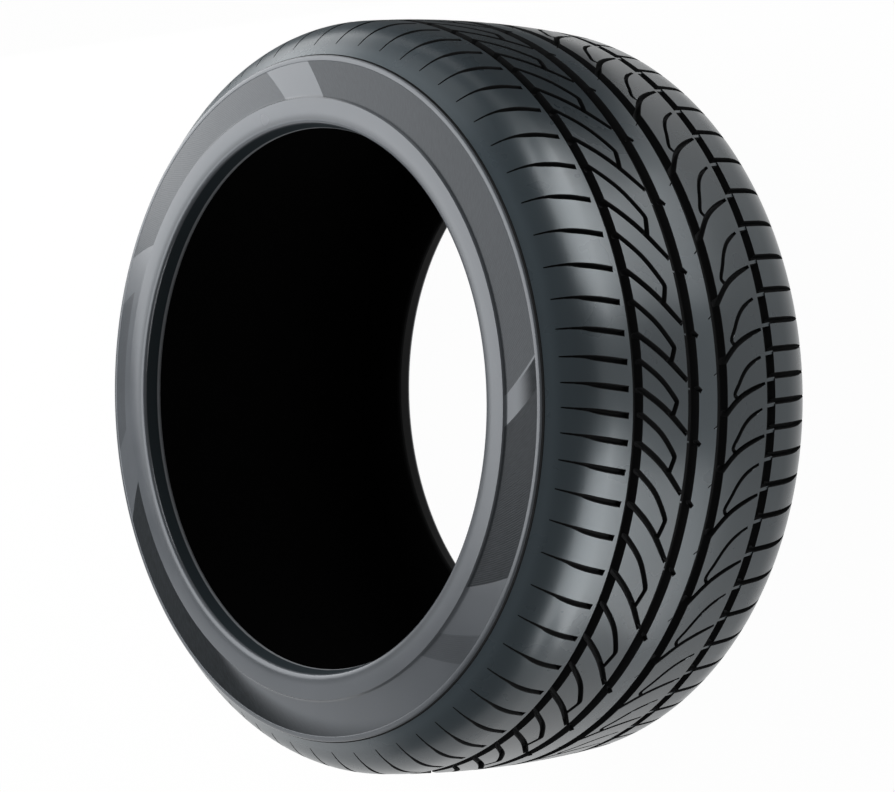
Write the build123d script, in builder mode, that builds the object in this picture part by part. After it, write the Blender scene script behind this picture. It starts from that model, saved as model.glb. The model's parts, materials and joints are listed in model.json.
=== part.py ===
from build123d import *
import os
from math import asin, cos, hypot, pi, radians, sin, tan

# Car tyre, size class 315/30 R18, as one vulcanised piece. Millimetres.
# The axis is Z, the middle of the tyre is the origin, and the tread runs round Z.
# The section goes round in flats, 0.4 mm off the true circle at most, so that the whole tread
# pattern keeps to plain faces. The bead seats, which meet the rim, are true cylinders.

# Section, half of it: the tyre is the same on both sides
SEAT_RADIUS = 231.0          # half of an 18 inch rim's specified diameter, 462 mm
SECTION_HEIGHT = 92.0        # bead seat to tread face
HALF_WIDTH = 155.0           # middle plane to the outside of a bead
CROWN_RADIUS = 1000.0        # curve of the tread across its width
SHOULDER_WIDTH = 60.0        # outside of a bead back to the start of the shoulder curve
SHOULDER_RADIUS = 58.0       # curve that turns the tread into the sidewall
SHOULDER_SLOPE = 47.0        # degrees that the curve has turned when it runs straight
SHOULDER_BREAKS = (16.3, 40.2)
RIDGE_DROP = 8.5             # outside of a bead back to the edge of the sidewall
LAND_WIDTH = 10.0            # flat of the bead ring, which the tyre lies on
HEEL_CHAMFER = 2.0
BEAD_THICKNESS = 18.0
BEAD_HEIGHT = 9.0            # from the seat to the foot of the inner wall
BEAD_STOCK = 6.0             # taken off when the seats are bored
WALL_THICKNESS = 11.5
CROWN_THICKNESS = 19.0       # from the tread face to the inner liner
FLATS = 60

# Grooves round the tyre
INNER_GROOVE_Z = 16.2        # middle plane to the middle of the groove
INNER_GROOVE_WIDTH = 11.4
OUTER_GROOVE_INSET = 20.4    # start of the shoulder curve back to the middle of the groove
OUTER_GROOVE_WIDTH = 10.0
GROOVE_DEPTH = 8.0
GROOVE_DRAFT = 1.0           # how far each wall leans in

# Pattern units, long and short in turn three times round the tyre, as tyres have it against noise
UNITS = 36
PITCH_SWING = 2.65           # degrees
DOUBLE_SWING = 1.13          # degrees, at twice the rate
NEAR_GROOVE_SHIFT = -0.245   # of a pitch, from the X axis to the middle of a long groove
FAR_GROOVE_SHIFT = 0.045
NEAR_CUT_SHIFT = 0.155       # of a pitch, from the X axis to the foot of a shoulder cut
FAR_CUT_SHIFT = 0.34

# Grooves across the tread
RIB_CUT_WIDTH = 4.0
LONG_CUT_DEPTH = 7.0
HOOK_CUT_DEPTH = 6.0
BLIND_END = 2.4              # left standing between a blind end and the next groove
OVERRUN = 2.5                # how far an open end reaches into the next groove, and past the tread
SHOULDER_CUT_WIDTH = 3.6
SHOULDER_CUT_DEPTH = 6.5
NEAR_CUT_TILT = 10.0         # degrees from the axis
FAR_CUT_TILT = 4.0
SHOULDER_CUT_TURN = 39.2     # degrees of the shoulder curve at which the cut runs out

OUTER_RADIUS = SEAT_RADIUS + SECTION_HEIGHT
SHOULDER_Z = HALF_WIDTH - SHOULDER_WIDTH
SHOULDER_START = asin(SHOULDER_Z / CROWN_RADIUS)
RIDGE_Z = HALF_WIDTH - RIDGE_DROP
OUTER_GROOVE_Z = SHOULDER_Z - OUTER_GROOVE_INSET
RIB_INSIDE = INNER_GROOVE_Z + INNER_GROOVE_WIDTH / 2
RIB_OUTSIDE = OUTER_GROOVE_Z - OUTER_GROOVE_WIDTH / 2
RIB_WIDTH = RIB_OUTSIDE - RIB_INSIDE


def shoulder_z(degrees):
    """Place across the tyre where the shoulder curve has turned by so many degrees."""
    return SHOULDER_Z + SHOULDER_RADIUS * (sin(radians(degrees)) - sin(SHOULDER_START))


def surface_radius(z):
    """Radius of the tread face: on the crown, then on the shoulder curve, then on its tangent."""
    if z <= SHOULDER_Z:
        return OUTER_RADIUS - CROWN_RADIUS * (1 - cos(asin(z / CROWN_RADIUS)))
    end_z = shoulder_z(SHOULDER_SLOPE)
    turned = asin((min(z, end_z) - SHOULDER_Z) / SHOULDER_RADIUS + sin(SHOULDER_START))
    on_curve = surface_radius(SHOULDER_Z) - SHOULDER_RADIUS * (cos(SHOULDER_START) - cos(turned))
    return on_curve - max(z - end_z, 0) * tan(radians(SHOULDER_SLOPE))


def groove_section(place, width):
    """Four corners of a groove that runs round the tyre, from the middle plane outwards."""
    floor = surface_radius(place) - GROOVE_DEPTH
    inside = place - width / 2
    outside = place + width / 2
    return [
        (surface_radius(inside), inside),
        (floor, inside + GROOVE_DRAFT),
        (floor, outside - GROOVE_DRAFT),
        (surface_radius(outside), outside),
    ]


def section():
    """Section of the tyre in the XZ plane, with solid beads that are bored to size later."""
    bead_inside = HALF_WIDTH - BEAD_THICKNESS
    half = groove_section(INNER_GROOVE_Z, INNER_GROOVE_WIDTH)
    half += groove_section(OUTER_GROOVE_Z, OUTER_GROOVE_WIDTH)
    for z in (*[shoulder_z(turn) for turn in SHOULDER_BREAKS], RIDGE_Z):
        half.append((surface_radius(z), z))
    half += [
        (SEAT_RADIUS + HEEL_CHAMFER + LAND_WIDTH, HALF_WIDTH),
        (SEAT_RADIUS - BEAD_STOCK, HALF_WIDTH),
        (SEAT_RADIUS - BEAD_STOCK, bead_inside),
        (SEAT_RADIUS + BEAD_HEIGHT, bead_inside),
        (surface_radius(RIDGE_Z), RIDGE_Z - WALL_THICKNESS),
        (OUTER_RADIUS - CROWN_THICKNESS, SHOULDER_Z),
    ]
    with BuildSketch(Plane.XZ) as drawn:
        with BuildLine():
            Polyline(*half, *[(radius, -z) for radius, z in half[::-1]], close=True)
        make_face()
    return drawn.sketch


def ring_path():
    """Path round the axis in flats, which starts in the middle of one, square to the section."""
    corner = OUTER_RADIUS / cos(pi / FLATS)
    turns = [2 * pi * (flat + 0.5) / FLATS for flat in range(FLATS)]
    start = (OUTER_RADIUS, 0, 0)
    with BuildLine() as path:
        Polyline(start, *[(corner * cos(turn), corner * sin(turn), 0) for turn in turns], start)
    return path.wire()


def unit_angle(number):
    """Angle of a pattern unit in degrees; fractions lie between two units."""
    mean = number * 360 / UNITS
    return mean - PITCH_SWING * sin(radians(3 * mean)) - DOUBLE_SWING * sin(radians(6 * mean))


def stroke(points, width):
    """Outline of a line of even width through the points, mitred at its corners."""
    left = []
    right = []
    for place, (x, y) in enumerate(points):
        before = points[max(place - 1, 0)]
        after = points[min(place + 1, len(points) - 1)]
        ways = []
        for (start_x, start_y), (end_x, end_y) in ((before, (x, y)), ((x, y), after)):
            length = hypot(end_x - start_x, end_y - start_y)
            if length:
                ways.append(((end_x - start_x) / length, (end_y - start_y) / length))
        way_x = sum(way[0] for way in ways) / len(ways)
        way_y = sum(way[1] for way in ways) / len(ways)
        reach = width / 2 / (way_x**2 + way_y**2)
        left.append((x - way_y * reach, y + way_x * reach))
        right.append((x + way_y * reach, y - way_x * reach))
    return left + right[::-1]


def rib_cut(side, number, line, depth):
    """Slanted groove in a rib. The line is in (place across the tyre, part of a pitch) pairs."""
    turn = radians(unit_angle(number))
    pitch = radians(unit_angle(number + 0.5) - unit_angle(number - 0.5)) * OUTER_RADIUS
    floor = OUTER_RADIUS - depth
    plane = Plane(
        origin=(floor * cos(turn), floor * sin(turn), 0),
        x_dir=(-sin(turn), cos(turn), 0),
        z_dir=(cos(turn), sin(turn), 0),
    )
    points = [(part * pitch, side * place) for place, part in line]
    with BuildPart() as cut:
        with BuildSketch(plane):
            with BuildLine():
                Polyline(*stroke(points, RIB_CUT_WIDTH), close=True)
            make_face()
        extrude(amount=depth + OVERRUN)
    return cut.part


def shoulder_cut(side, number, degrees):
    """Tilted groove over the shoulder, with a straight floor that runs out at the surface."""
    start = OUTER_GROOVE_Z + OUTER_GROOVE_WIDTH / 2 + BLIND_END
    end = shoulder_z(SHOULDER_CUT_TURN)
    turn = radians(unit_angle(number))
    tilt = radians(degrees)
    outward = Vector(cos(turn), sin(turn), 0)
    along = Vector(-sin(turn), cos(turn), 0) * sin(tilt) + Vector(0, 0, side) * cos(tilt)
    length = (end - start) / cos(tilt)
    with BuildPart() as cut:
        with BuildSketch(Plane((0, 0, side * start), x_dir=outward, z_dir=outward.cross(along))):
            with BuildLine():
                Polyline(
                    (surface_radius(start) - SHOULDER_CUT_DEPTH, 0),
                    (surface_radius(end), length),
                    (OUTER_RADIUS + OVERRUN, length),
                    (OUTER_RADIUS + OVERRUN, 0),
                    close=True,
                )
            make_face()
        extrude(amount=SHOULDER_CUT_WIDTH / 2, both=True)
    return cut.part


def rib_line(*points):
    """Points given as parts of the rib's width, turned into places across the tyre."""
    return [(RIB_INSIDE + share * RIB_WIDTH, part) for share, part in points]


def tread_cuts():
    """All grooves across the tread. The near half opens to the shoulder, the far half to the middle."""
    near_long = [(RIB_OUTSIDE + OVERRUN, 0.41), (RIB_INSIDE + BLIND_END, -0.4)]
    near_hook = [(RIB_OUTSIDE + OVERRUN, 0.95), *rib_line((0.6, 0.6), (0.3, 0.14), (0.34, -0.15))]
    far_long = [
        (RIB_OUTSIDE - BLIND_END, 0.165),
        *rib_line((0.38, -0.06)),
        (RIB_INSIDE - OVERRUN, -0.42),
    ]
    far_hook = [
        (RIB_OUTSIDE - 2 * BLIND_END, 0.66),
        *rib_line((0.5, 0.43), (0.22, -0.04), (0.28, -0.145)),
    ]
    cuts = []
    for unit in range(UNITS):
        near = unit + NEAR_GROOVE_SHIFT
        far = unit + FAR_GROOVE_SHIFT
        cuts.append(rib_cut(1, near, near_long, LONG_CUT_DEPTH))
        cuts.append(rib_cut(1, near, near_hook, HOOK_CUT_DEPTH))
        cuts.append(rib_cut(-1, far, far_long, LONG_CUT_DEPTH))
        cuts.append(rib_cut(-1, far, far_hook, HOOK_CUT_DEPTH))
        for half_unit in (unit, unit + 0.5):
            cuts.append(shoulder_cut(1, half_unit + NEAR_CUT_SHIFT, NEAR_CUT_TILT))
            cuts.append(shoulder_cut(-1, half_unit + FAR_CUT_SHIFT, FAR_CUT_TILT))
    return cuts


os.makedirs("parts", exist_ok=True)

tyre_section = section()
tyre_path = ring_path()
tyre_cuts = tread_cuts()

with BuildPart() as tyre:
    sweep(tyre_section, path=tyre_path, transition=Transition.RIGHT)
    Cylinder(SEAT_RADIUS, 3 * HALF_WIDTH, mode=Mode.SUBTRACT)
    seat_edges = tyre.edges().filter_by(GeomType.CIRCLE)
    heels = [edge for edge in seat_edges if abs(edge.center().Z) > HALF_WIDTH - BEAD_THICKNESS / 2]
    chamfer(heels, HEEL_CHAMFER)
    add(tyre_cuts, mode=Mode.SUBTRACT)

tyre.part.label = "tyre"
export_step(tyre.part, "parts/tyre.step")
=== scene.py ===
import bpy
import json
from math import asin, atan2, cos, degrees, pi, radians, sin, tan
from mathutils import Matrix, Vector


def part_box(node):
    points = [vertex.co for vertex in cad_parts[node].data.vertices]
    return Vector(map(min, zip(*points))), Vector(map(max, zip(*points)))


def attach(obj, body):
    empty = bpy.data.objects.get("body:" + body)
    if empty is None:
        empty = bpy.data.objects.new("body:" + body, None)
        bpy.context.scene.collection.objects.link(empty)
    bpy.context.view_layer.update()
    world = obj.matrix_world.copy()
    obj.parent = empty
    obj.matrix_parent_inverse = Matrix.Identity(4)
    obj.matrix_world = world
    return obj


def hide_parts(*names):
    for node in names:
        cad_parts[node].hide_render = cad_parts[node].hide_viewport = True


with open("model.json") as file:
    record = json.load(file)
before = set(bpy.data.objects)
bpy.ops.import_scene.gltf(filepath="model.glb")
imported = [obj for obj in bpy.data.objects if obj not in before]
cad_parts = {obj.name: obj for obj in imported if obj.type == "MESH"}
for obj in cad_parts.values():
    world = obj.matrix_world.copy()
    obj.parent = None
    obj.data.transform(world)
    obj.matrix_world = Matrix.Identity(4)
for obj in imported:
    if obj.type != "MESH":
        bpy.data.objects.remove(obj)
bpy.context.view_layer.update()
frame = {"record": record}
bpy.ops.object.select_all(action="DESELECT")


# Tyre body: one moulding of black rubber over steel and textile cords, open inside for the air. Its
# section is drawn as a line, from the tread over shoulder and sidewall to the bead and back inside,
# mirrored for the far side and spun round the axle, as the mould is turned on a lathe.
low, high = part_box("tyre")
tread_radius = high.x
half_width = high.z
seat_radius = frame["record"]["mounts"][0]["dims"]["r_mm"] / 1000
crown_radius = 1.0
shoulder_start = half_width - 0.06
shoulder_radius = 0.058
shoulder_slope = radians(47)
inner_groove = (0.0162, 0.0114)
outer_groove = (shoulder_start - 0.0204, 0.01)
groove_depth = 0.008
groove_edge = 0.0004
ridge_radius = 0.2855
ridge_z = half_width - 0.0085
liner_radius = tread_radius - 0.019
turn_steps = 300
weld_gap = 0.00001


def tread_face(z):
    """Radius of the tread or shoulder at a place across the tyre, and its lean to the side there."""
    across = abs(z)
    first = asin(shoulder_start / crown_radius)
    if across <= shoulder_start:
        lean = asin(across / crown_radius)
        return tread_radius - crown_radius * (1 - cos(lean)), lean
    edge = tread_radius - crown_radius * (1 - cos(first))
    lean = asin(min((across - shoulder_start) / shoulder_radius + sin(first), sin(shoulder_slope)))
    straight = shoulder_start + shoulder_radius * (sin(shoulder_slope) - sin(first))
    radius = edge - shoulder_radius * (cos(first) - cos(lean))
    return radius - max(across - straight, 0) * tan(shoulder_slope), lean


def face_run(start, end, steps):
    """Section points on the tread face between two places across the tyre."""
    places = [start + (end - start) * step / steps for step in range(steps + 1)]
    return [(tread_face(z)[0], z) for z in places]


def groove_run(groove):
    """Section points of a groove round the tyre: broken edges, leaning walls and a rounded floor."""
    middle, width = groove
    face = tread_face(middle)[0]
    wall = [(width / 2, groove_edge), (width / 2 - 0.0008, 0.0062), (width / 2 - 0.0014, 0.0074)]
    wall.append((width / 2 - 0.0026, groove_depth))
    inside = [(face - depth, middle - reach) for reach, depth in wall]
    return inside + [(face - depth, middle + reach) for reach, depth in wall[::-1]]


def draw_line(name, points):
    """New object whose mesh is one line of edges, drawn by extruding its first point onward."""
    bpy.ops.mesh.primitive_plane_add()
    piece = bpy.context.object
    piece.name = name
    bpy.ops.object.mode_set(mode="EDIT")
    bpy.ops.mesh.merge(type="CENTER")
    bpy.ops.transform.translate(value=points[0])
    for start, end in zip(points, points[1:]):
        bpy.ops.mesh.extrude_region_move(TRANSFORM_OT_translate={"value": end - start})
    return piece


inner_edge = inner_groove[0] - inner_groove[1] / 2 - groove_edge
rib_start = inner_groove[0] + inner_groove[1] / 2 + groove_edge
rib_end = outer_groove[0] - outer_groove[1] / 2 - groove_edge
shoulder_edge = outer_groove[0] + outer_groove[1] / 2 + groove_edge
shoulder_end = ridge_z - 0.0032
half = face_run(0, inner_edge, 2) + groove_run(inner_groove) + face_run(rib_start, rib_end, 4)
half += groove_run(outer_groove) + face_run(shoulder_edge, shoulder_start, 2)
half += face_run(shoulder_start, shoulder_end, 14)[1:]
# The rest of the section: the ridge from its own place, the bead from the radius of its seat, and each
# depth from the outside of the bead
ridge = [
    (0.0026, -0.0034), (0.0020, -0.0029), (0.0020, -0.0019), (0.0016, -0.0011), (0.0011, -0.0005),
    (0.0005, -0.0001), (-0.0002, 0.0001), (-0.0023, 0.0005), (-0.0027, 0.0004), (-0.0031, 0.0002),
]
sidewall = [
    (0.2814, 0.0081), (0.2690, 0.0056), (0.2546, 0.00308), (0.2536, 0.0029), (0.2526, 0.0022),
    (0.2514, 0.0005), (0.2480, 0.0002), (0.2425, 0), (0.2385, 0.0001), (0.2350, 0.0003),
    (0.2325, 0.0007),
]
bead = [
    (0.0003, 0.0012), (-0.0005, 0.0021), (-0.0011, 0.0038), (-0.0042, 0.0150), (-0.0036, 0.0168),
    (-0.0016, 0.0177), (0.0028, 0.0180),
]
inner_wall = [
    (0.2420, 0.0182), (0.2640, 0.0186), (0.2800, 0.0204), (0.2895, 0.0290), (0.2975, 0.0440),
    (liner_radius - 0.0018, 0.0560), (liner_radius, 0.0700), (liner_radius, half_width),
]
half += [(ridge_radius + rise, ridge_z + out) for rise, out in ridge]
half += [(radius, half_width - depth) for radius, depth in sidewall]
half += [(seat_radius + rise, half_width - depth) for rise, depth in bead]
half += [(radius, half_width - depth) for radius, depth in inner_wall]
section = [Vector((radius, 0, z)) for radius, z in half]
section += [Vector((radius, 0, -z)) for radius, z in half[-2:0:-1]]
tyre = draw_line("tyre_rubber", section + section[:1])
bpy.ops.mesh.select_all(action="SELECT")
bpy.ops.mesh.remove_doubles(threshold=weld_gap)
bpy.ops.mesh.spin(steps=turn_steps, angle=2 * pi, center=(0, 0, 0), axis=(0, 0, 1))
bpy.ops.mesh.select_all(action="SELECT")
bpy.ops.mesh.remove_doubles(threshold=weld_gap)
bpy.ops.mesh.normals_make_consistent(inside=False)
bpy.ops.object.mode_set(mode="OBJECT")


# Tread pattern: each unit of either side has a long slanted groove, a hooked groove that runs into it
# and two cuts over the shoulder. The units differ in length, which keeps the tyre quiet. The mould's
# fins are drawn on the unrolled tread, as lines with a profile, and wrapped round the tyre.
units = 36
# Start of the near side's first unit, and the far side's step from it, in parts of a unit
near_start = 0.04
side_step = 0.17
# How far the units are moved from even places, in waves that run three and six times round the tyre
long_wave = radians(2.65)
short_wave = radians(1.13)


def unit_angle(number):
    """Angle of a pattern unit; fractions lie between two units."""
    mean = 2 * pi * number / units
    return mean - long_wave * sin(3 * mean) - short_wave * sin(6 * mean)


def groove_corners(width, depth):
    """Cross-section of a groove: broken edges, leaning walls, rounded floor."""
    rise = 0.0012
    right = [(width / 2 + groove_edge + rise, rise), (width / 2, -groove_edge)]
    right += [(width / 2 - 0.0004, 0.001 - depth), (width / 2 - 0.0012, -depth)]
    return right + [(-x, y) for x, y in right[::-1]]


def bar_corners(width, top):
    """Cross-section of a bar that stands on a groove's floor."""
    foot = groove_depth + 0.0015
    right = [(width / 2 - 0.0002, -top), (width / 2, -top - 0.0003), (width / 2 + 0.0004, -foot)]
    return right + [(-x, y) for x, y in right[::-1]]


def mould(name, lines, corners, operation):
    """Cuts or adds a profile along lines of (unit number, place across, size) on the unrolled tread."""
    outline = bpy.data.curves.new(name + "_profile", "CURVE")
    outline.dimensions = "2D"
    spline = outline.splines.new("POLY")
    spline.points.add(len(corners) - 1)
    for point, (x, y) in zip(spline.points, corners):
        point.co = (x, y, 0, 1)
    spline.use_cyclic_u = True
    profile = bpy.data.objects.new(name + "_profile", outline)
    bpy.context.collection.objects.link(profile)
    unrolled = bpy.data.curves.new(name, "CURVE")
    unrolled.dimensions = "2D"
    unrolled.bevel_mode = "OBJECT"
    unrolled.bevel_object = profile
    unrolled.use_fill_caps = True
    unrolled.resolution_u = 3
    for line in lines:
        spline = unrolled.splines.new("NURBS")
        spline.points.add(len(line) - 1)
        for point, (number, across, size) in zip(spline.points, line):
            point.co = (unit_angle(number) * tread_radius, across, 0, 1)
            point.radius = size
        spline.order_u = 3
        spline.use_endpoint_u = True
    fin = bpy.data.objects.new(name, unrolled)
    bpy.context.collection.objects.link(fin)
    bpy.ops.object.select_all(action="DESELECT")
    fin.select_set(True)
    bpy.context.view_layer.objects.active = fin
    bpy.ops.object.convert(target="MESH")
    for vertex in fin.data.vertices:
        turn = vertex.co.x / tread_radius
        radius, lean = tread_face(vertex.co.y)
        lean = lean if vertex.co.y > 0 else -lean
        radius += vertex.co.z * cos(lean)
        across = vertex.co.y + vertex.co.z * sin(lean)
        vertex.co = (radius * cos(turn), radius * sin(turn), across)
    bpy.ops.object.mode_set(mode="EDIT")
    bpy.ops.mesh.select_all(action="SELECT")
    bpy.ops.mesh.remove_doubles(threshold=weld_gap)
    bpy.ops.mesh.normals_make_consistent(inside=False)
    bpy.ops.object.mode_set(mode="OBJECT")
    fin.data.materials.clear()
    bpy.ops.object.select_all(action="DESELECT")
    tyre.select_set(True)
    bpy.context.view_layer.objects.active = tyre
    change = tyre.modifiers.new("mould", "BOOLEAN")
    change.operation = operation
    change.solver = "MANIFOLD"
    change.object = fin
    bpy.ops.object.modifier_apply(modifier=change.name)
    bpy.data.objects.remove(fin)
    bpy.data.objects.remove(profile)


# Lines of one unit, point by point: part of a unit's length, place across and, where it changes, size
near_long = [
    (0.13, 0.0735, 1), (-0.05, 0.060, 1), (-0.32, 0.0435, 1), (-0.62, 0.0290, 0.95),
    (-0.75, 0.0225, 0.8),
]
near_hook = [
    (0.67, 0.0735), (0.49, 0.0615), (0.27, 0.049), (0.0, 0.0388), (-0.13, 0.0343), (-0.17, 0.0343),
    (-0.42, 0.0390),
]
near_cut = [
    (0, 0.0835, 1), (0.05, 0.1, 1), (0.10, 0.114, 0.9), (0.135, 0.120, 0.45), (0.17, 0.135, 0.2),
]
near_notch = [(-0.80, 0.0160), (-0.88, 0.0118), (-0.96, 0.0074)]
near_bump = [(-0.88, 0.0192), (-0.91, 0.0156)]
far_long = [
    (-0.003, -0.0672, 0.5), (-0.055, -0.0590, 0.75), (-0.15, -0.047, 0.85), (-0.27, -0.036, 0.9),
    (-0.45, -0.026, 0.95), (-0.67, -0.0165, 1),
]
far_hook = [
    (0.50, -0.0635, 0.5), (0.44, -0.0565, 0.7), (0.33, -0.0475, 0.78), (0.17, -0.0405, 0.78),
    (-0.02, -0.0355, 0.78), (-0.19, -0.0300, 0.78), (-0.25, -0.0312, 0.78), (-0.31, -0.0357, 0.78),
]
far_cut = [
    (0, -0.0765, 1), (0.03, -0.098, 1), (0.06, -0.114, 0.9), (0.08, -0.120, 0.45),
    (0.10, -0.135, 0.2),
]
far_notch = [(-0.79, -0.0106), (-0.815, -0.0088), (-0.84, -0.0070)]
far_bar = [(-0.085, -0.0690), (-0.05, -0.0802)]
far_notch_size = 0.3
near_cut_starts = (0.12, 0.62)
far_cut_step = 0.02
longs = []
hooks = []
cuts = []
notches = []
bars = []
bumps = []
for unit in range(units):
    near = unit + near_start
    far = near + side_step
    longs.append([(near + part, z, size) for part, z, size in near_long])
    longs.append([(far + part, z, size) for part, z, size in far_long])
    hooks.append([(near + part, z, 1) for part, z in near_hook])
    hooks.append([(far + part, z, size) for part, z, size in far_hook])
    notches.append([(near + part, z, 1) for part, z in near_notch])
    notches.append([(far + part, z, far_notch_size) for part, z in far_notch])
    bumps.append([(near + part, z, 1) for part, z in near_bump])
    for start in near_cut_starts:
        cuts.append([(near + start + part, z, size) for part, z, size in near_cut])
        cuts.append([(far + start + far_cut_step + part, z, size) for part, z, size in far_cut])
        bars.append([(far + start + far_cut_step + part, z, 1) for part, z in far_bar])
mould("long_grooves", longs, groove_corners(0.0048, 0.007), "DIFFERENCE")
mould("hook_grooves", hooks, groove_corners(0.0042, 0.006), "DIFFERENCE")
mould("shoulder_cuts", cuts, groove_corners(0.0045, 0.0055), "DIFFERENCE")
mould("rib_notches", notches, groove_corners(0.0032, 0.0045), "DIFFERENCE")
mould("groove_bars", bars, bar_corners(0.0032, 0.0010), "UNION")
mould("groove_bumps", bumps, bar_corners(0.0018, 0.0050), "UNION")
bpy.ops.object.shade_smooth_by_angle(angle=radians(32))

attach(tyre, "root")
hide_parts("tyre")


# Tread rubber: the outer layer of the moulding. Its blocks have a satin face with the fine grain of the
# mould. The grooves, which the mould's fins press deep into the rubber, are matt and coloured near
# black, which is painted shade in the recesses.
class Shade:
    """A shader socket. Operators on it add Math nodes, and node() adds any other node."""

    def __init__(self, socket):
        self.socket = socket

    def node(self, kind, settings, inputs, output=0):
        """Adds a node: first its settings, then the values or links of its sockets."""
        tree = self.socket.id_data
        added = tree.nodes.new(kind)
        for name, setting in settings.items():
            setattr(added, name, setting)
        for name, value in inputs.items():
            if isinstance(value, Shade):
                tree.links.new(value.socket, added.inputs[name])
            else:
                added.inputs[name].default_value = value
        return Shade(added.outputs[output])

    def math(self, operation, first, second=0.0):
        return self.node("ShaderNodeMath", {"operation": operation}, {0: first, 1: second})

    def __add__(self, other):
        return self.math("ADD", self, other)

    def __radd__(self, other):
        return self.math("ADD", other, self)

    def __sub__(self, other):
        return self.math("SUBTRACT", self, other)

    def __rsub__(self, other):
        return self.math("SUBTRACT", other, self)

    def __mul__(self, other):
        return self.math("MULTIPLY", self, other)

    def __rmul__(self, other):
        return self.math("MULTIPLY", other, self)

    def __gt__(self, other):
        return self.math("GREATER_THAN", self, other)

    def __lt__(self, other):
        return self.math("LESS_THAN", self, other)

    def step(self, start, end):
        """Runs smoothly from 0 at the start to 1 at the end."""
        span = {"Value": self, "From Min": start, "From Max": end}
        return self.node("ShaderNodeMapRange", {"interpolation_type": "SMOOTHSTEP"}, span)

    def noise(self, scale, detail):
        """Noise from 0 to 1 at this place."""
        return self.node("ShaderNodeTexNoise", {}, {"Vector": self, "Scale": scale, "Detail": detail})

    def mix(self, start, end):
        """Colour from the start, where this is 0, to the end, where it is 1."""
        return self.node("ShaderNodeMix", {"data_type": "RGBA"}, {0: self, 6: start, 7: end}, 2)

    def bump(self, distance, strength):
        sizes = {"Height": self, "Distance": distance, "Strength": strength}
        return self.node("ShaderNodeBump", {}, sizes)

    def feed(self, socket):
        self.socket.id_data.links.new(self.socket, socket)


def new_finish(name):
    """A new material, the place on the tyre in metres, and the sockets of its shader."""
    material = bpy.data.materials.new(name)
    material.use_nodes = True
    nodes = material.node_tree.nodes
    place = Shade(nodes.new("ShaderNodeTexCoord").outputs["Object"])
    return material, place, nodes["Principled BSDF"].inputs


tread_rubber, place, shader = new_finish("tread_rubber")
x, y, z = [place.node("ShaderNodeSeparateXYZ", {}, {0: place}, axis) for axis in "XYZ"]
radius = x.math("SQRT", x * x + y * y)
across = z.math("ABSOLUTE", z)
# Painted shade: the side ribs are darker than the middle rib, and the outer shoulder darker still; the
# noise is the rubber's own random variation
off_middle = across.step(0.0105, 0.0125)
beside = off_middle * (1 - across.step(0.070, 0.074))
outer_shoulder_shade = radius.step(0.290, 0.300)
tone_and_painted_shade = 1.4 + 0.2 * place.noise(9, 4) - 0.4 * off_middle - 0.3 * beside - 0.5 * outer_shoulder_shade
tone_and_painted_shade.mix((0.014, 0.0230, 0.0290, 1), (0.055, 0.0745, 0.0880, 1)).feed(shader["Base Color"])
(0.25 + 0.06 * place.noise(26, 3)).feed(shader["Roughness"])
place.noise(900, 2).bump(0.00015, 0.25).feed(shader["Normal"])
shader["Specular Tint"].default_value = (0.92, 0.97, 1.0, 1)

# The groove finish: matt rubber coloured near black, as painted shade in the grooves and on their
# broken edges
groove_rubber_painted_shade, place, shader = new_finish("groove_rubber_painted_shade")
place.noise(40, 2).mix((0.004, 0.0044, 0.005, 1), (0.007, 0.0076, 0.0085, 1)).feed(shader["Base Color"])
shader["Roughness"].default_value = 0.8
shader["Specular IOR Level"].default_value = 0.1


# Sidewall rubber: a smooth ring lies beside the bead, and outside it a band with fine moulded ribs, in
# slanted sectors with plain rubber between them; their darkness is partly painted shade.
# The bead's heel and seat are a matt chafer rubber, coloured near black on the far bead as painted
# shade, and a painted highlight runs along the inner edge of the near bead.
sidewall_rubber, place, shader = new_finish("sidewall_rubber")
x, y, z = [place.node("ShaderNodeSeparateXYZ", {}, {0: place}, axis) for axis in "XYZ"]
radius = x.math("SQRT", x * x + y * y)
turn = y.math("ARCTAN2", y, x) * (180 / pi)
turn = turn + 360 * (turn < 0)
depth = half_width - z.math("ABSOLUTE", z)
ring_edge = 0.2515
degrees_per_metre = 212
slant = turn - (radius - ring_edge) * degrees_per_metre
slant = slant + 360 * (slant < 0)
band = radius.step(0.2518, 0.2526) * (1 - radius.step(0.2822, 0.2830))
band_height = radius - 0.252
shade_fade = (turn - 236 - band_height * 500).step(0, 12 + band_height * 1300)
# The sectors with ribs are darker than the plain rubber; how dark each one is, and where the darkest
# one ends after 236 degrees, is painted shade
ribbed_and_shaded = (slant > 196) * (slant < 320) * (1 - shade_fade)
ribbed_and_shaded = ribbed_and_shaded + 0.35 * (slant > 156) * (slant < 183) * radius.step(0.2645, 0.2655)
ribbed_and_shaded = ribbed_and_shaded + 0.9 * (slant > 355) * radius.step(0.262, 0.280)
# The other sectors: start and end in degrees round the tyre, and how matt and dark the ribs make them,
# which differs from sector to sector as painted shade
sectors = [(0.5, 83, 0.6), (94.5, 147, 0.45), (305, 312, 0.35), (323.7, 355, 0.8)]
for start, end, share in sectors:
    ribbed_and_shaded = ribbed_and_shaded + (slant > start) * (slant < end) * share
ribbed_and_shaded = ribbed_and_shaded * band
rib_count = 720
ribs = slant.math("SINE", slant * radians(rib_count))
polar = turn.node("ShaderNodeCombineXYZ", {}, {"X": slant * 2.6, "Y": radius * 180})
streaks = polar.noise(1, 2).step(0.25, 0.75)
smear = place.noise(14, 2).step(0.25, 0.75)
relief = (ribs * ribbed_and_shaded + 0.25 * place.noise(700, 2)).bump(0.00015, 0.3)
smear.mix((0.070, 0.0775, 0.0870, 1), (0.080, 0.0880, 0.0990, 1)).feed(shader["Base Color"])
(0.225 + 0.05 * smear).feed(shader["Roughness"])
relief.feed(shader["Normal"])
shader["Specular IOR Level"].default_value = 0.7
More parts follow.
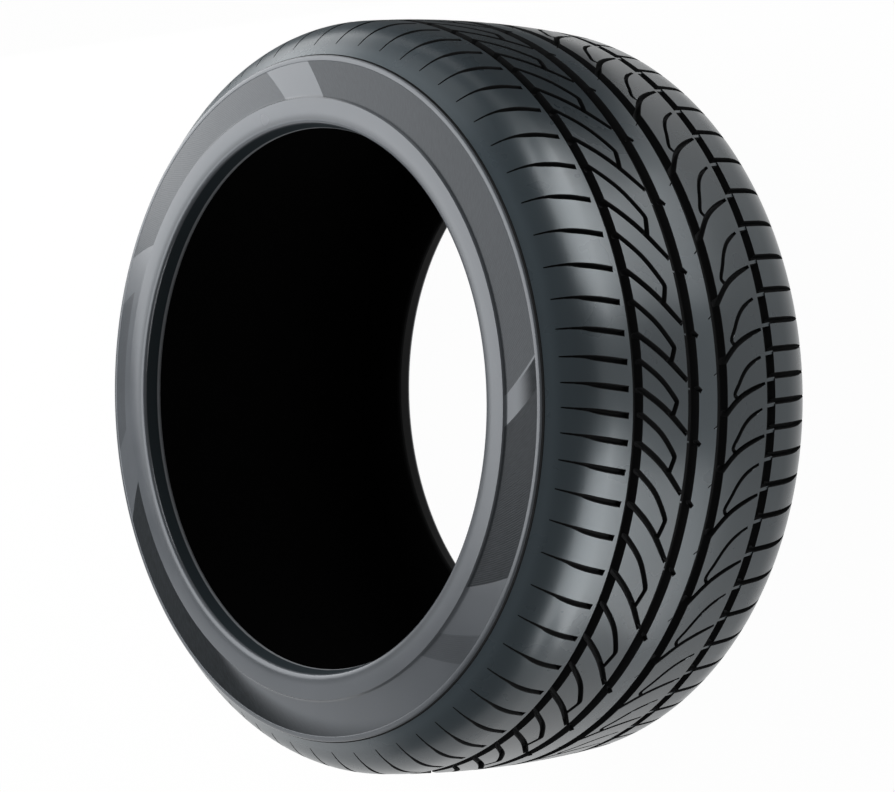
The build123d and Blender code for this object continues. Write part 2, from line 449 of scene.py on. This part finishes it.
shader["Specular Tint"].default_value = (0.91, 0.95, 1.0, 1)
seat = depth.step(0.0030, 0.0042) * (1 - radius.step(0.2335, 0.2345))
heel = seat + 0.3 * (radius.step(0.2330, 0.2345) - radius.step(0.2345, 0.2400))
near_side = z.step(-0.01, 0.01)
# Painted highlight: a light line along the inner edge of the near bead
painted_toe_highlight = near_side * depth.step(0.0130, 0.0136) * (1 - depth.step(0.0174, 0.0178))
moulded = streaks.mix((0.007, 0.0092, 0.0112, 1), (0.015, 0.0190, 0.0225, 1))
# Painted shade: the far bead's chafer rubber is near black, the near one lighter
chafer = near_side.mix((0.003, 0.0032, 0.0035, 1), (0.014, 0.0215, 0.0265, 1))
colour = painted_toe_highlight.mix(seat.mix(moulded, chafer), (0.20, 0.21, 0.225, 1))
sockets = {"Base Color": colour, "Roughness": 0.8, "Specular IOR Level": 0.15, "Normal": relief}
matt = place.node("ShaderNodeBsdfPrincipled", {}, sockets)
nodes = sidewall_rubber.node_tree.nodes
satin = Shade(nodes["Principled BSDF"].outputs[0])
blend = place.node("ShaderNodeMixShader", {}, {0: ribbed_and_shaded + heel, 1: satin, 2: matt})
blend.feed(nodes["Material Output"].inputs["Surface"])


# Inner liner: a thin airtight skin of butyl rubber, matt, and coloured nearly black as painted shade
# inside the tyre. It is cured onto the inside of the tyre with the rest, so here it is the finish of
# the faces inside.
shaded_liner_rubber, place, shader = new_finish("shaded_liner_rubber")
place.noise(30, 3).mix((0.002, 0.002, 0.0021, 1), (0.004, 0.004, 0.0042, 1)).feed(shader["Base Color"])
shader["Roughness"].default_value = 0.9
shader["Specular IOR Level"].default_value = 0.05

tyre.data.materials.clear()
for finish in (tread_rubber, groove_rubber_painted_shade, sidewall_rubber, shaded_liner_rubber):
    tyre.data.materials.append(finish)
tread_index, groove_shade_index, sidewall_index, shaded_liner_index = range(4)
bead_back = half_width - 0.0176
inside_radius = 0.309
inside_edge = 0.097
inside_slope = 0.47
ridge_top = ridge_radius + 0.0014
ridge_foot = ridge_radius + 0.0027
shade_line_end = 92
shade_line_start = 165
bar_span = (-0.081, -0.0685)
bar_drop = 0.003
bump_span = (0.015, 0.02)
bump_drop = 0.006
# Faces sunk deeper than this get the groove finish with its painted shade
smallest_shaded_drop = 0.00012
level = 0.95
for face in tyre.data.polygons:
    centre = face.center
    outward = Vector((centre.x, centre.y, 0))
    turn = degrees(atan2(centre.y, centre.x))
    across = abs(centre.z)
    inside = inside_radius - max(across - inside_edge, 0) * inside_slope
    drop = tread_face(across)[0] - outward.length
    bar = drop < bar_drop and bar_span[0] < centre.z < bar_span[1]
    bump = drop < bump_drop and bump_span[0] < centre.z < bump_span[1]
    raised = (bar or bump) and face.normal.dot(outward.normalized()) > level
    if across < bead_back and outward.length < inside:
        face.material_index = shaded_liner_index
    elif outward.length < ridge_top:
        face.material_index = sidewall_index
    elif outward.length < ridge_foot:
        # The dark line beside the ridge is painted shade; it stops at one angle and starts again at the
        # other
        face.material_index = sidewall_index if shade_line_end < turn < shade_line_start else groove_shade_index
    # Sunk faces, but not the tops of bars and bumps, get the painted shade of the grooves
    elif drop > smallest_shaded_drop and not raised:
        face.material_index = groove_shade_index
    else:
        face.material_index = tread_index


# Studio floor: a wide sheet of pale paper that the tyre lies on. It is white to the camera and in
# reflections, and keeps a soft shadow.
bpy.ops.mesh.primitive_plane_add(size=40, location=(0, 0, low.z))
floor = bpy.context.object
floor.name = "studio_floor"
paper = bpy.data.materials.new("studio_paper")
paper.use_nodes = True
nodes = paper.node_tree.nodes
sheet = nodes["Principled BSDF"]
sheet.inputs["Base Color"].default_value = (0.8, 0.8, 0.8, 1)
sheet.inputs["Roughness"].default_value = 0.9
path = nodes.new("ShaderNodeLightPath")
seen = Shade(path.outputs["Is Camera Ray"])
seen = seen.math("MAXIMUM", seen, Shade(path.outputs["Is Glossy Ray"]))
seen = seen.math("MAXIMUM", seen, Shade(path.outputs["Is Transmission Ray"]))
white = seen.node("ShaderNodeEmission", {}, {"Strength": 1.0})
white_share = 0.98
layers = {0: seen * white_share, 1: Shade(sheet.outputs[0]), 2: white}
blend = seen.node("ShaderNodeMixShader", {}, layers)
blend.feed(nodes["Material Output"].inputs["Surface"])
floor.data.materials.append(paper)


# Studio card: a dark card, laid on the floor at the side of the tyre that is the top of the picture.
# It keeps that side of the tread dark, and the camera doesn't see it.
bpy.ops.mesh.primitive_plane_add(size=1, location=(-0.45, 1.17, low.z + 0.004))
card = bpy.context.object
card.name = "studio_card"
card.scale = (1.5, 1.60, 1)
bpy.ops.object.transform_apply(location=False, rotation=False, scale=True)
black = bpy.data.materials.new("studio_black")
black.use_nodes = True
shader = black.node_tree.nodes["Principled BSDF"].inputs
shader["Base Color"].default_value = (0.06, 0.06, 0.06, 1)
shader["Roughness"].default_value = 1.0
card.data.materials.append(black)
card.visible_camera = False
card.visible_shadow = False


# Light and camera: a large soft box above the sidewall, three smaller ones round the tyre, and two rows
# of panels that rise from the floor beside the tread, in a dim room. The camera stands where the photo
# was taken from, with the tyre's axis turned to its left.
def soft_box(name, place, aim, width, height, power):
    """A rectangular lamp at a place, turned to what it lights."""
    lamp = bpy.data.lights.new(name, "AREA")
    lamp.shape = "RECTANGLE"
    lamp.size = width
    lamp.size_y = height
    lamp.energy = power
    box = bpy.data.objects.new(name, lamp)
    box.location = place
    box.rotation_euler = (Vector(aim) - Vector(place)).to_track_quat("-Z", "Y").to_euler()
    box.visible_camera = False
    bpy.context.collection.objects.link(box)
    return box


def floor_panel(name, side, low_edge, high_edge, width, power):
    """A panel beside the tread for reflections, from low to high edge, each as (distance, height)."""
    outward = Vector((cos(radians(side)), sin(radians(side)), 0))
    start = low_edge[0] * outward + Vector((0, 0, low_edge[1]))
    run = (high_edge[0] - low_edge[0]) * outward + Vector((0, 0, high_edge[1] - low_edge[1]))
    facing = run.cross(Vector((0, 0, 1)).cross(outward))
    middle = start + run / 2
    panel = soft_box(name, middle, middle + facing, width, run.length, power)
    panel.visible_diffuse = False


sidewall_box = soft_box("sidewall_box", (-0.714, 0.513, 1.323), (0.046, 0.513, 0.673), 1.5, 2.3, 34.5)
sidewall_box.rotation_euler.rotate_axis("Z", radians(-28))
soft_box("back_box", (-1.18, 0.92, 0.2), (0, 0, 0.15), 1.1, 0.8, 4.6)
soft_box("fill_box", (-1.05, -0.85, 0.65), (0, 0, 0.15), 1.3, 1.2, 4.5)
soft_box("side_box", (-0.3, 1.5, 0.75), (0.15, 0.25, 0.14), 1.0, 0.7, 1.9)
floor_panel("upper_strip", 32, (0.44, -0.152), (0.64, -0.151), 0.24, 0.26)
floor_panel("upper_low", 38, (0.645, -0.15), (1.017, 0.104), 0.52, 4.6)
floor_panel("upper_high", 45, (1.017, 0.104), (1.449, 0.400), 0.80, 7.0)
floor_panel("lower_strip", -33, (0.44, -0.152), (0.64, -0.151), 0.34, 0.41)
floor_panel("lower_low", -32.5, (0.645, -0.15), (1.017, 0.104), 0.64, 5.6)
floor_panel("lower_high", -39, (1.017, 0.104), (1.449, 0.400), 1.05, 9.2)

turned = radians(49.475)
tipped = radians(-1.106)
axis = Vector((-sin(turned) * cos(tipped), sin(tipped), cos(turned) * cos(tipped)))
upward = Vector((0, 1, 0)) - axis * axis.y
upward.normalize()
sideways = upward.cross(axis)
to_tyre = Matrix((sideways, upward, axis))
stand = Vector((0.002793, -0.000295, 2.95118))
picture_width = 895
focal_pixels = 3408.904
lens = bpy.data.cameras.new("camera")
lens.sensor_width = 36
lens.lens = focal_pixels * lens.sensor_width / picture_width
camera = bpy.data.objects.new("camera", lens)
bpy.context.collection.objects.link(camera)
camera.matrix_world = Matrix.Translation(to_tyre @ stand) @ to_tyre.to_4x4()
bpy.context.scene.camera = camera
world = bpy.data.worlds.new("studio")
world.use_nodes = True
room = world.node_tree.nodes["Background"].inputs
room["Color"].default_value = (1, 1, 1, 1)
room["Strength"].default_value = 0.22
bpy.context.scene.world = world
bpy.context.scene.view_settings.view_transform = "Standard"
